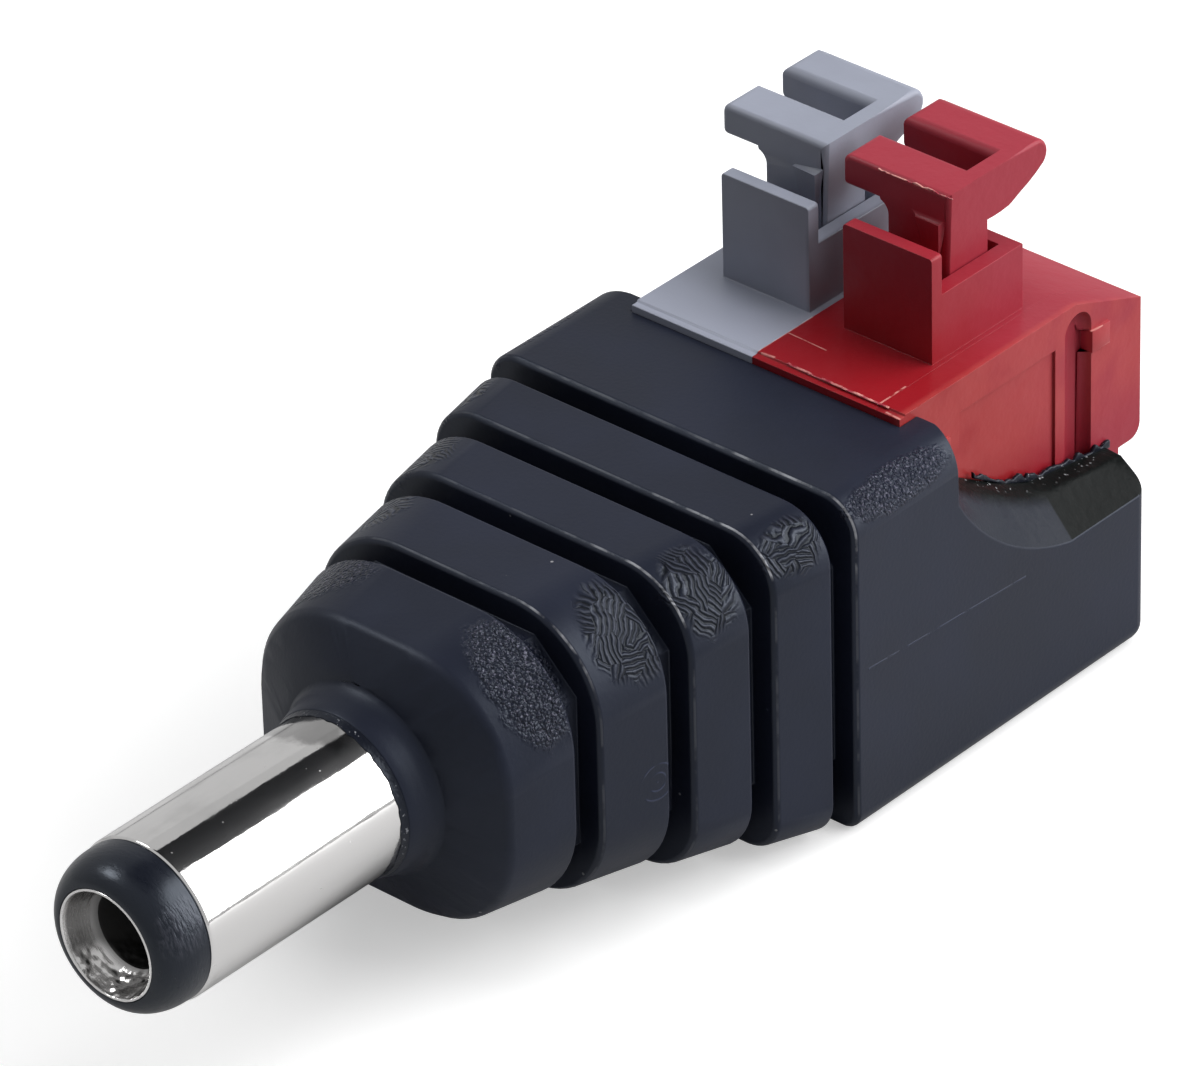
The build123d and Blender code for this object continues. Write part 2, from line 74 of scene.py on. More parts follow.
MM = 0.001
ROOT = "plug_body"
MOUNTS = {mount["name"]: mount for mount in frame["record"]["mounts"]}

# Radii of the barrel's pieces, in millimetres
BARREL_R = MOUNTS["barrel"]["dims"]["r_mm"]
BORE_R = MOUNTS["centre_contact"]["dims"]["r_mm"]
SHANK_R = BARREL_R - 0.2
SLEEVE_BORE_R = BARREL_R - 0.55
MOUTH_R = 1.9
TAIL_R = 1.2

# Places along the barrel's axis, in millimetres
COLLAR_FACE = -1.0
FLANGE = (1.3, 2.2)
TAIL_START = 3.5

# Flare of the centre contact's mouth: radius, and distance behind its lip, in millimetres
FLARE = ((1.64, 0.5), (1.5, 0.85), (1.42, 0.98), (1.3, 1.04))

# Places on the terminal and its levers, in millimetres
TERMINAL_TOP = 6.05
TERMINAL_FRONT = 18.85
TERMINAL_REAR = 30.9
REAR_UNDERSIDE = -0.35
PLATE_TOP = 9.87
PLATE_MIDDLE = 22.15
NECK_FOOT = 8.5
HEAD_FRONT = 23.5
HEAD_TOP = 11.2
HEAD_UNDER = 10.1
HEAD_SLOT = (24.9, 26.9)
HEAD_REAR = 25.6
HEAD_REAR_FOOT = 9.3
LUG_FRONT = 28.0
LUG_HEIGHTS = (3.9, 4.8)
LUG_SHIFT = 0.3

# Boxes in the moulding: its buried pockets, and the scooped wall and the flat beside each pole
BURIED = ((-4.8, -0.9, -5.0), (4.8, 28.0, 3.2))
LEDGE = ((5.2, 19.7, -1.0), (7.5, 28.95, 4.9))


def colour(name, description, value):
    return FloatVectorProperty(
        name=name, description=description, default=value, size=3, min=0, max=1, subtype="COLOR")


def length(name, description, value):
    return FloatProperty(name=name, description=description, default=value, min=0, unit="LENGTH")


def turn(name, description, degrees):
    return FloatProperty(
        name=name, description=description, default=math.radians(degrees), unit="ROTATION")


def amount(name, description, value):
    return FloatProperty(name=name, description=description, default=value, min=0)


class PlugColours(PropertyGroup):
    """Colours of the plug's plastics and metals."""

    black: colour("Black", "Moulded body", (0.011, 0.0135, 0.027))
    ring: colour("Ring", "Insulator at the barrel's tip", (0.006, 0.0075, 0.0135))
    grey: colour("Grey", "Negative pole and its lever", (0.31, 0.33, 0.405))
    red: colour("Red", "Positive pole, its lever and the cover", (0.33, 0.009, 0.016))
    # Red haze: the colour of a painted sheen on the red plastic, and the base of the flash strips
    red_sheen: colour("Red haze", "Bloom on the red plastic away from the body", (0.38, 0.035, 0.06))
    # Flash: pale red of the flash strips' painted highlights, and of the red plastic's scratches and
    # painted highlight lines
    flash: colour("Flash", "Thin torn edges of the red plastic", (0.8, 0.36, 0.32))
    nickel: colour("Nickel", "Barrel and centre contact", (0.83, 0.82, 0.815))
    tin: colour("Tin", "Tags, busbars and solder", (0.62, 0.61, 0.58))
    copper: colour("Copper", "Lead cores", (0.6, 0.36, 0.24))
    steel: colour("Steel", "Clamp springs", (0.52, 0.52, 0.54))


class PlugSizes(PropertyGroup):
    """Edge rounding and mould details."""

    body_edge: length("Body edges", "Rounding on the moulded body's edges", 0.05 * MM)
    box_edge: length("Box edges", "Rounding on the terminal's edges", 0.1 * MM)
    plate_corner: length("Plate corners", "Rounding on the guide plates' top corners", 0.13 * MM)
    rear_corner: length("Rear corner", "Rounding under the end cover's rear", 0.5 * MM)
    lever_edge: length("Lever edges", "Rounding on the levers' necks", 0.09 * MM)
    grey_head: length("Grey head", "Rounding on the grey lever's head", 0.2 * MM)
    red_head: length("Red head", "Rounding on the red lever's head", 0.16 * MM)
    lip_step: length("Lip step", "Drop of the strip along the terminal's front edge", 0.07 * MM)
    lip_width: length("Lip width", "Width of that strip", 0.26 * MM)
    flash_height: length("Flash height", "Ragged rubber lip along the red pole", 0.3 * MM)
    flash_thickness: length("Flash thickness", "Thickness of the ragged lip", 0.13 * MM)
    root_flash: length("Root flash", "Reach of the ragged rubber edge along the barrel", 0.13 * MM)
    turn_steps: IntProperty(
        name="Turn steps", description="Steps round a turned piece", default=160, min=24, max=360)


class PlugStudio(PropertyGroup):
    """Camera, lamps and surroundings."""

    azimuth: turn("Azimuth", "Camera's turn about +Z", 41.991)
    elevation: turn("Elevation", "Camera's height angle", 32.523)
    roll: turn("Roll", "Camera's tilt", -1.587)
    distance: length("Distance", "From the aim point to the camera", 286.7 * MM)
    lens: amount("Lens", "Focal length in millimetres", 278.35)
    aim: FloatVectorProperty(
        name="Aim", description="Point in the middle of the picture",
        default=(0.16 * MM, 10.946 * MM, 3.55 * MM), size=3, unit="LENGTH")
    key_power: amount("Key", "Watts of the softbox behind the right side", 1.6)
    left_power: amount("Left", "Watts of the softbox behind the left side", 0.02)
    top_power: amount("Top", "Watts of the matt light overhead", 0.62)
    front_power: amount("Front", "Watts of the small lamp that draws thin lines on front edges", 0.26)
    ambient: amount("Ambient", "Strength of the world on matt surfaces", 0.14)
    mirrored: amount("Mirrored", "Strength of the world in reflections", 0.52)


# Shader maths


class Socket:
    """An output socket; arithmetic on it adds Math nodes."""

    def __init__(self, tree, link):
        self.tree = tree
        self.link = link

    def maths(self, operation, *values):
        return add_node(self.tree, "ShaderNodeMath", {"operation": operation}, dict(enumerate(values)))

    def __add__(self, other):
        return self.maths("ADD", self, other)

    __radd__ = __add__

    def __mul__(self, other):
        return self.maths("MULTIPLY", self, other)

    __rmul__ = __mul__

    def __sub__(self, other):
        return self.maths("SUBTRACT", self, other)

    def __rsub__(self, other):
        return self.maths("SUBTRACT", other, self)

    def __abs__(self):
        return self.maths("ABSOLUTE", self)

    def larger(self, other):
        return self.maths("MAXIMUM", self, other)

    def sine(self):
        return self.maths("SINE", self)

    def back_and_forth(self, reach):
        return self.maths("PINGPONG", self, reach)


def add_node(tree, kind, settings=None, inputs=None, output=0):
    """Adds one node, sets it up, fills or links its inputs and returns one of its outputs."""
    made = tree.nodes.new(kind)
    for name, value in (settings or {}).items():
        setattr(made, name, value)
    for key, value in (inputs or {}).items():
        if isinstance(value, Socket):
            tree.links.new(value.link, made.inputs[key])
        else:
            made.inputs[key].default_value = value
    return Socket(tree, made.outputs[output])


SOCKETS = {
    "base_color": "Base Color", "roughness": "Roughness", "metallic": "Metallic", "normal": "Normal",
    "gloss": "Specular IOR Level", "tint": "Specular Tint"}


class Finish:
    """A material in the making, with its pattern coordinates in millimetres."""

    def __init__(self, name, **plain):
        self.material = bpy.data.materials.new(name)
        self.material.use_nodes = True
        self.tree = self.material.node_tree
        self.shader = self.tree.nodes["Principled BSDF"]
        self.mm = self.vector("SCALE", self.add("ShaderNodeTexCoord", output="Object"), Scale=1 / MM)
        self.x, self.y, self.z = (
            self.add("ShaderNodeSeparateXYZ", inputs={0: self.mm}, output=axis) for axis in range(3))
        for socket, value in plain.items():
            self.shader.inputs[SOCKETS[socket]].default_value = value

    def add(self, kind, settings=None, inputs=None, output=0):
        return add_node(self.tree, kind, settings, inputs, output)

    def vector(self, operation, *values, output=0, **named):
        inputs = {**dict(enumerate(values)), **named}
        return self.add("ShaderNodeVectorMath", {"operation": operation}, inputs, output)

    def point(self, x, y, z):
        return self.add("ShaderNodeCombineXYZ", None, {0: x, 1: y, 2: z})

    def noise(self, scale, detail=2.0, place=None):
        return self.add(
            "ShaderNodeTexNoise", None, {"Vector": place or self.mm, "Scale": scale, "Detail": detail})

    def colour_noise(self, scale):
        """Three separate noises in one vector."""
        return self.add("ShaderNodeTexNoise", None, {"Vector": self.mm, "Scale": scale}, output=1)

    def cells(self, scale, place=None, output=0):
        """Distance to the nearest of many scattered points, or with output 1 that point's colour."""
        return self.add(
            "ShaderNodeTexVoronoi", None, {"Vector": place or self.mm, "Scale": scale}, output)

    def specks(self, scale, outer, inner):
        """1 on small round specks, one to a cell, 0 between them."""
        return self.step(self.cells(scale), outer, inner)

    def dust(self):
        return self.specks(0.5, 0.03, 0.018)

    def stretched(self, stretch):
        return self.vector("MULTIPLY", self.mm, stretch)

    def moved(self, place, by, distance):
        """A place shifted by a vector or a noise times a distance in millimetres."""
        return self.vector("ADD", place, self.vector("SCALE", by, Scale=distance))

    def step(self, value, start, end):
        """0 at start, 1 at end, smooth in between."""
        settings = {"interpolation_type": "SMOOTHSTEP"}
        return self.add("ShaderNodeMapRange", settings, {0: value, 1: start, 2: end})

    def reach(self, place, centre, radii):
        """How far a place is from an ellipsoid's centre, where 1 is its surface."""
        away = self.vector("DIVIDE", self.vector("SUBTRACT", place, centre), radii)
        return self.vector("LENGTH", away, output="Value")

    def near(self, centre, radii, rough):
        """1 inside an ellipsoid, 0 outside, with a border as ragged as rough says."""
        ragged = self.reach(self.mm, centre, radii) + self.noise(1.6, 3.0) * rough
        return self.step(ragged, 1 + rough * 0.5 + 0.15, 0.7 + rough * 0.5)

    def line(self, start, end, width):
        """1 on the straight line between two points, 0 further off than its width."""
        along = Vector(end) - Vector(start)
        away = self.vector("SUBTRACT", self.mm, start)
        share = self.vector("DOT_PRODUCT", away, tuple(along / along.length_squared), output="Value")
        kept = self.add("ShaderNodeClamp", None, {0: share})
        nearest = self.vector("SCALE", tuple(along), Scale=kept)
        return self.step(self.vector("DISTANCE", away, nearest, output="Value"), width, width * 0.3)

    def lines(self, marks):
        """The strongest of several lines, broken up along their length."""
        drawn = 0.0
        for start, end, width in marks:
            drawn = self.line(start, end, width).larger(drawn)
        return drawn * self.step(self.noise(3.0), 0.3, 0.5)

    def mix(self, factor, first, second):
        first, second = (c if isinstance(c, Socket) else (*c, 1) for c in (first, second))
        return self.add(
            "ShaderNodeMix", {"data_type": "RGBA"}, {0: factor, 6: first, 7: second}, output=2)

    def bump(self, height, depth_mm, under=None):
        inputs = {"Height": height, "Distance": depth_mm * MM, "Strength": 1.0}
        if under:
            inputs["Normal"] = under
        return self.add("ShaderNodeBump", None, inputs)

    def feed(self, **sockets):
        for socket, value in sockets.items():
            self.tree.links.new(value.link, self.shader.inputs[SOCKETS[socket]])
        return self.material


def scaled(values, factor):
    return tuple(value * factor for value in values)


# Tones on the plastics: painted highlights, glints, shade and light, a lighter patch on the ring, dust,
# and a washer's fibre

COOL_TINT = (0.78, 0.87, 1.0, 1.0)
DARK_GREEN = (0.004, 0.0055, 0.0055)
OUTER_SLOPE_LIT = (0.028, 0.032, 0.043)
CREST_HIGHLIGHT = (0.06, 0.066, 0.088)
GRAIN_GLINT = (0.15, 0.145, 0.2)
EDGE_HIGHLIGHT = (0.5, 0.51, 0.55)
FLASH_GLINT = (0.3, 0.31, 0.34)
LEDGE_GLINT = (0.4, 0.42, 0.44)
RING_PATCH_TONE = (0.06, 0.062, 0.08)
DUST_ON_BLACK = (0.4, 0.4, 0.42)
DUST_ON_GREY = (0.75, 0.76, 0.78)
GREY_SEAM_HIGHLIGHT = (0.85, 0.82, 0.84)
# A painted highlight low on the red cover's front
COVER_HIGHLIGHT = (0.52, 0.075, 0.07)
PALE_FIBRE = (0.55, 0.53, 0.46)

# Patches of the moulding's skin on both sides: centre and radii, in millimetres

NOSE_GRAIN = ((3.9, 2.9, 3.8), (2.3, 1.5, 2.7))
CORNER_GRAIN = ((7.25, 16.8, 5.3), (0.75, 2.7, 0.8))
RIB_FOLDS = (
    ((4.9, 6.4, 4.2), (1.7, 1.6, 2.2)),
    ((5.6, 9.2, 4.5), (1.6, 1.3, 1.7)),
    ((6.6, 12.4, 4.9), (0.9, 1.3, 1.1)))
FOLD_PITCH = 0.16

# A lighter patch on the tip ring and a darker one on the sleeve: centre and radii, in millimetres

RING_PATCH = ((2.3, -10.35, 1.2), (0.6, 0.9, 1.1))
SLEEVE_DARK_PATCH = ((-0.9, -1.5, 2.7), (1.9, 1.3, 1.0))

# Front edges of the ribs and the block, and how far behind one its painted highlight starts, is full,
# fades and ends

FRONT_EDGES = (4.45, 8.0, 11.2, 14.4)
EDGE_HIGHLIGHT_BAND = (0.07, 0.09, 0.12, 0.15)

# The faint moulding mark on the first rib: the middle of its rings, and the step from ring to ring

MARK_CENTRE = (0, 6.6, -0.9)
MARK_STEP = 0.32

# Thin marks and painted highlight lines: start, end and width, in millimetres

PARTING_LINES = (
    ((7.55, 15.0, -0.48), (7.55, 22.7, -0.94), 0.04),
    ((6.65, 11.2, -0.4), (6.8, 12.8, -0.4), 0.05))
# A painted highlight along the seam between the grey and red poles
SEAM_HIGHLIGHT = ((-0.35, 18.9, 6.05), (-0.35, 21.8, 6.05), 0.05)
# Scratches on the red plastic and painted highlights along its edges, lug and tab
RED_SCRATCHES_AND_HIGHLIGHTS = (
    SEAM_HIGHLIGHT,
    ((-0.29, 20.58, 6.05), (1.28, 20.52, 6.05), 0.035),
    ((-0.17, 19.12, 6.05), (0.28, 19.18, 6.05), 0.07),
    ((4.62, 19.0, 6.05), (4.6, 20.4, 6.05), 0.045),
    ((5.05, 18.95, 6.0), (5.6, 18.9, 6.0), 0.07),
    ((5.65, 20.5, 4.6), (5.72, 21.1, 4.35), 0.07),
    ((5.65, 28.05, 4.76), (5.76, 28.8, 4.76), 0.06),
    ((5.65, 28.5, 3.93), (5.76, 29.2, 3.93), 0.06),
    ((5.65, 25.1, 3.95), (5.7, 25.25, 4.1), 0.08),
    ((5.65, 25.18, 4.0), (5.65, 25.18, 3.2), 0.04),
    ((5.7, 22.9, 1.95), (5.7, 23.6, 1.75), 0.06),
    ((5.7, 24.9, 0.95), (5.7, 25.5, 0.95), 0.05))


def fold_ridges(f, place):
    """Fine ridges, 0 to 1, that run another way in each small patch of skin."""
    swirled = f.moved(place, f.colour_noise(1.1), 0.45)
    warped = f.moved(swirled, f.colour_noise(4.0), 0.07)
    patch_colour = f.cells(1.35, warped, output=1)
    centred = f.vector("SUBTRACT", patch_colour, (0.5, 0.5, 0.5))
    direction = f.vector("NORMALIZE", f.vector("MULTIPLY", centred, (0.3, 1, 1)))
    across = f.vector("DOT_PRODUCT", warped, direction, output="Value")
    return (across * (2 * math.pi / FOLD_PITCH)).sine() * 0.5 + 0.5


def moulding_mark(f):
    """Faint rings on the first rib's right side, partly rubbed away."""
    reach = f.vector("DISTANCE", f.point(0.0, f.y, f.z), MARK_CENTRE, output="Value")
    rings = f.step(reach.back_and_forth(MARK_STEP / 2), 0.05, 0.0)
    on_rib = f.step(reach, 0.85, 0.6) * f.step(f.x, 5.6, 5.8)
    return rings * on_rib * f.step(f.noise(1.1), 0.42, 0.55)


def front_edge_highlight(f):
    """Painted highlights: broken pale lines along the front edges, strongest at the top right corners.
    """
    drawn = 0.0
    for y in FRONT_EDGES:
        starts, full, fades, ends = (y + offset for offset in EDGE_HIGHLIGHT_BAND)
        drawn = (f.step(f.y, starts, full) * f.step(f.y, ends, fades)).larger(drawn)
    corner = f.step(f.x, 0.5, 4.5) * f.step(f.z, 3.0, 4.2)
    return drawn * (corner * 0.8 + 0.12) * f.step(f.noise(0.9, 4.0), 0.42, 0.6)


def black_moulding(colours):
    """Satin rubber with leather grain on the corners and fine folds on the ribs' corners, with painted
    shade in the folds' valleys and painted highlights on their crests, the grain and the front edges.
    """
    f = Finish("black_moulding", gloss=0.34, tint=COOL_TINT)
    both_sides = f.point(abs(f.x), f.y, f.z)
    border = f.noise(1.6, 3.0) * 0.5

    def patch(centre, radii):
        return f.step(f.reach(both_sides, centre, radii) + border, 1.25, 0.95)

    first, second, third = (patch(*place) for place in RIB_FOLDS)
    folds_in = first.larger(second).larger(third)
    grain_in = patch(*NOSE_GRAIN).larger(patch(*CORNER_GRAIN))
    folds = fold_ridges(f, both_sides)
    crest = f.step(folds, 0.5, 1.0)
    valley = f.step(folds, 0.5, 0.05)
    leather = 1 - f.cells(8.0, f.moved(f.mm, f.noise(4.0), 0.2))
    glint = f.step(f.noise(11.0, 2.0), 0.56, 0.68)
    parting = f.lines(PARTING_LINES)
    mark = moulding_mark(f)
    satin = f.bump(f.noise(7.0, 3.0), 0.005)
    creased = f.bump(folds * folds_in, 0.06, satin)
    grained = f.bump(leather * grain_in, 0.11, creased)
    lined = f.bump(parting + mark * 0.6, 0.02, grained)
    cloud = f.step(f.noise(0.22, 4.0), 0.35, 0.7)
    shade = f.mix(cloud, scaled(colours.black, 0.85), scaled(colours.black, 1.15))
    # Valleys of the folds darkened as painted shade, crests lightened as painted highlights
    crease_shaded = f.mix(valley * folds_in * 0.95, shade, scaled(colours.black, 0.15))
    crest_lit = f.mix(crest * folds_in * 0.7, crease_shaded, CREST_HIGHLIGHT)
    sparkling = f.mix(glint * grain_in * 0.75, crest_lit, GRAIN_GLINT)
    scored = f.mix(parting * 0.2 + mark * 0.3, sparkling, scaled(colours.black, 8.0))
    # Pale lines along the front edges: painted highlights
    edge_lit = f.mix(front_edge_highlight(f), scored, EDGE_HIGHLIGHT)
    dusty = f.mix(f.dust() * 0.7, edge_lit, DUST_ON_BLACK)
    roughness = 0.4 + cloud * 0.05 - folds_in * 0.05 - grain_in * 0.06
    return f.feed(base_color=dusty, roughness=roughness, normal=lined)


def torn_rubber(colours):
    """The moulding's ragged flash, with pale specks where it has torn that are painted glints."""
    f = Finish("torn_rubber", gloss=0.35, tint=COOL_TINT)
    torn = f.noise(7.0, 3.0)
    # Pale specks: painted glints
    shade = f.mix(f.step(torn, 0.66, 0.72), scaled(colours.black, 0.5), FLASH_GLINT)
    return f.feed(base_color=shade, roughness=0.22 + torn * 0.2, normal=f.bump(torn, 0.02))


def ledge_rubber():
    """Painted shade on the upward faces beside each pole: near black, with pale specks close to the pole
    as painted glints, and a paler outer part as painted light.
    """
    f = Finish("ledge_rubber", gloss=0.06)
    # Pale specks close to the pole: painted glints
    close = f.step(abs(f.x), 6.3, 5.9)
    torn = f.step(f.noise(5.5, 3.0), 0.63, 0.7) * close
    outer = f.step(abs(f.x), 6.35, 6.75) * f.step(f.y, 25.15, 25.05)
    # Near black as painted shade, paler on the outer slope as painted light
    shade = f.mix(torn, f.mix(outer, DARK_GREEN, OUTER_SLOPE_LIT), LEDGE_GLINT)
    ripple = f.bump(f.noise(2.2, 3.0), 0.05)
    return f.feed(base_color=shade, roughness=0.36 + torn * 0.1, normal=f.bump(torn, 0.03, ripple))


def tip_ring(colours):
    """Glossy black plastic with one lighter, streaky patch on its right side."""
    f = Finish("black_insulator", gloss=0.5, tint=COOL_TINT)
    pale_patch = f.near(*RING_PATCH, rough=0.8)
    streaks = f.noise(3.5, 4.0, f.stretched((1, 3, 1)))
    shade = f.mix(pale_patch * f.step(streaks, 0.4, 0.65) * 0.6, colours.ring, RING_PATCH_TONE)
    height = streaks * (pale_patch * 3.0 + 1.0)
    return f.feed(base_color=shade, roughness=0.24 + streaks * 0.1, normal=f.bump(height, 0.008))


def grey_plastic(colours):
    """Clouded grey with dust, lighter on the shelf at the front as painted light and darker where it
    faces the red lever as painted shade.
    """
    f = Finish("grey_plastic", gloss=0.42)
    cloud = f.step(f.noise(0.35, 3.0), 0.3, 0.7)
    shade = f.mix(cloud, scaled(colours.grey, 0.94), scaled(colours.grey, 1.05))
    # A pale line along the seam with the red pole: a painted highlight
    marked = f.mix(f.lines([SEAM_HIGHLIGHT]) * 0.6, shade, GREY_SEAM_HIGHLIGHT)
    dusty = f.mix(f.dust() * 0.6, marked, DUST_ON_GREY)
    shelf = f.step(f.y, 22.2, 20.5) * f.step(f.z, TERMINAL_TOP + 0.05, TERMINAL_TOP + 0.01)
    # The shelf at the front made lighter: painted light
    bright = f.mix(shelf * 0.8, dusty, scaled(colours.grey, 1.4))
    above_shelf = f.step(f.z, TERMINAL_TOP, TERMINAL_TOP + 0.05)
    # Darker on the side that faces the red lever: painted shade
    gap = f.step(f.x, -0.75, -0.4) * f.step(f.z, 9.6, 8.6) * above_shelf
    gap_shaded = f.mix(gap * 0.75, bright, scaled(colours.grey, 0.25))
    roughness = 0.42 + cloud * 0.08
    return f.feed(base_color=gap_shaded, roughness=roughness, normal=f.bump(f.noise(5.0, 3.0), 0.004))


def red_plastic(colours):
    """Deep red, paler towards the rear and top as a painted sheen, with a painted highlight low on the
    cover's front and thin lines that are scratches and painted highlights.
    """
    f = Finish("red_plastic", gloss=0.3)
    # Paler towards the rear and top: a painted sheen
    painted_sheen = f.step(f.y + f.z * 0.5 + f.noise(0.4, 3.0) * 3.0, 25.5, 31.5)
    shade = f.mix(painted_sheen * 0.8, colours.red, colours.red_sheen)
    # A paler patch low on the cover's front: a painted highlight
    cover_highlight = f.step(f.x, 5.35, 5.6) * f.step(f.z, 0.4, 2.8) * f.step(f.noise(0.5, 3.0), 0.2, 0.55)
    cover_lit = f.mix(cover_highlight * 0.5, shade, COVER_HIGHLIGHT)
    # Pale lines in the flash colour: scratches and painted highlights
    marked = f.mix(f.lines(RED_SCRATCHES_AND_HIGHLIGHTS) * 0.75, cover_lit, colours.flash)
    uneven = f.bump(f.noise(1.1, 3.0), 0.03, f.bump(f.noise(4.0, 3.0), 0.006))
    return f.feed(base_color=marked, roughness=0.33 + painted_sheen * 0.1, normal=uneven)


def red_flash(colours):
    """Thin torn red edges in the painted sheen's red, with pale patches that are painted highlights."""
    f = Finish("red_flash", gloss=0.5)
    patchy = f.step(f.noise(2.2, 3.0), 0.4, 0.62)
    shade = f.mix(patchy, colours.red_sheen, colours.flash)
    return f.feed(base_color=shade, roughness=0.25 + patchy * 0.1, normal=f.bump(patchy, 0.02))


def soft_plastic(name, tint, roughness):
    """A plain clouded plastic for a lead's jacket or a washer."""
    f = Finish(name)
    cloud = f.noise(1.5, 3.0)
    shade = f.mix(cloud, scaled(tint, 0.85), scaled(tint, 1.1))
    dull = cloud * 0.1 + roughness
    return f.feed(base_color=shade, roughness=dull, normal=f.bump(f.noise(9.0), 0.004))


# Metals


def nickel(colours):
    """Bright plating with long draw lines, pits, a film, dark specks and one darker patch."""
    f = Finish("nickel_sleeve", metallic=1.0)
    drawn = f.noise(2.2, 5.0, f.stretched((2.5, 0.12, 2.5)))
    film = f.step(f.noise(0.9, 4.0, f.stretched((1, 0.5, 1))), 0.35, 0.72)
    speck = f.specks(2.6, 0.1, 0.05) * f.step(f.noise(0.8), 0.45, 0.6)
    stained = film * f.step(f.x, 1.2, -0.6)
    dark_patch = f.near(*SLEEVE_DARK_PATCH, rough=1.0)
    clean = f.mix(dark_patch * 0.8, colours.nickel, scaled(colours.nickel, 0.35))
    shade = f.mix(stained * 0.6, clean, scaled(colours.nickel, 0.7))
    pits = f.bump(f.noise(6.0, 2.0), 0.0009)
    wave = f.bump(f.noise(0.9, 3.0, f.stretched((1, 0.35, 1))), 0.01, pits)
    roughness = 0.05 + film * 0.05 + stained * 0.08 + speck * 0.4
    return f.feed(base_color=shade, roughness=roughness, normal=f.bump(drawn, 0.0012, wave))


def contact_metal(colours):
    """Tarnished plating with a bright rim, dents and painted glints low in the mouth, and painted shade
    in the rough bore.
    """
    f = Finish("plated_contact", metallic=1.0)
    turned_marks = f.noise(5.0, 3.0, f.stretched((0.6, 4.0, 0.6)))
    # Deep in the bore the colour drops to a tenth: painted shade
    inside = f.step(f.y, -10.45, -10.1)
    low_down = f.step(f.z, -0.7, -1.2)
    tarnished = f.mix(turned_marks, scaled(colours.nickel, 0.3), scaled(colours.nickel, 0.37))
    # Plain nickel on the rim, and low in the mouth as painted glints
    rim = f.step(f.y, -11.1, -11.2).larger(low_down)
    shade = f.mix(inside, f.mix(rim, tarnished, colours.nickel), scaled(colours.nickel, 0.1))
    dented = f.bump(f.noise(2.4, 1.0) * low_down, 0.1, f.bump(turned_marks, 0.004))
    roughness = 0.24 + turned_marks * 0.06 + inside * 0.3 - low_down * 0.14
    return f.feed(base_color=shade, roughness=roughness, normal=dented)


def stamped_metal(name, tint, roughness):
    """Sheet metal or solder with faint rolling streaks."""
    f = Finish(name, metallic=1.0)
    rolled = f.noise(4.0, 4.0, f.stretched((0.3, 3.0, 3.0)))
    shade = f.mix(rolled, scaled(tint, 0.8), scaled(tint, 1.1))
    return f.feed(base_color=shade, roughness=rolled * 0.15 + roughness, normal=f.bump(rolled, 0.004))


# Making pieces


def seated(piece, slot_name, *nodes, body=ROOT):
    """Says what a piece rides on and which nodes it stands for; slot_name is not used."""
    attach(piece, body)
    if nodes:
        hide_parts(*nodes)
    return piece


def made_piece(bm, name, material, sharp_angle=35):
    """Links a bmesh as a smooth piece whose edges past sharp_angle stay crisp."""
    mesh = bpy.data.meshes.new(name)
    bm.to_mesh(mesh)
    bm.free()
    mesh.shade_smooth()
    mesh.set_sharp_from_angle(angle=math.radians(sharp_angle))
    mesh.materials.append(material)
    piece = bpy.data.objects.new(name, mesh)
    bpy.context.scene.collection.objects.link(piece)
    return piece


def joined_copy(node):
    """A CAD node's loose triangles, merged, with the flat faces made whole."""
    bm = bmesh.new()
    bm.from_mesh(frame["nodes"][node].data)
    bmesh.ops.remove_doubles(bm, verts=bm.verts, dist=0.002 * MM)
    bmesh.ops.dissolve_limit(
        bm, angle_limit=math.radians(0.5), verts=bm.verts, edges=bm.edges, use_dissolve_boundaries=False)
    return bm


def sharp_edges(bm, wanted, angle=40):
    """Edges folded by more than angle whose middle, in millimetres, is wanted."""
    limit = math.radians(angle)
    return [
        edge for edge in bm.edges
        if len(edge.link_faces) == 2 and edge.calc_face_angle() > limit
        and wanted((edge.verts[0].co + edge.verts[1].co) / (2 * MM))]


def within(place, box):
    """Whether a place lies inside a box that is given by its lowest and highest corners."""
    return all(low < value < high for low, value, high in zip(box[0], place, box[1]))


def soften(bm, edges, width, segments):
    bmesh.ops.bevel(
        bm, geom=edges, offset=width, offset_type="OFFSET", affect="EDGES", segments=segments,
        profile=0.5, material=-1, clamp_overlap=False)


def rounded(piece, width, angle=30):
    """Rounds every edge folded by more than angle, and keeps the flat faces flat."""
    edges = piece.modifiers.new("Edges", "BEVEL")
    edges.width = width
    edges.segments = 2
    edges.limit_method = "ANGLE"
    edges.angle_limit = math.radians(angle)
    edges.use_clamp_overlap = True
    piece.modifiers.new("Shading", "WEIGHTED_NORMAL")


def dressed(node, material, slot_name, width, shape, body=ROOT):
    """Replaces a CAD node by a copy of itself, shaped further and with rounded edges."""
    bm = joined_copy(node)
    shape(bm)
    piece = made_piece(bm, f"{node}_dressed", material)
    rounded(piece, width)
    return seated(piece, slot_name, node, body=body)


def roughly(place, grain):
    """A repeatable uneven value from 0 to about 1 at a place in metres."""
    coarse = abs(noise.noise(place * (grain / MM)))
    fine = abs(noise.noise(place * (grain * 2.7 / MM)))
    return coarse * 1.3 + fine * 0.5


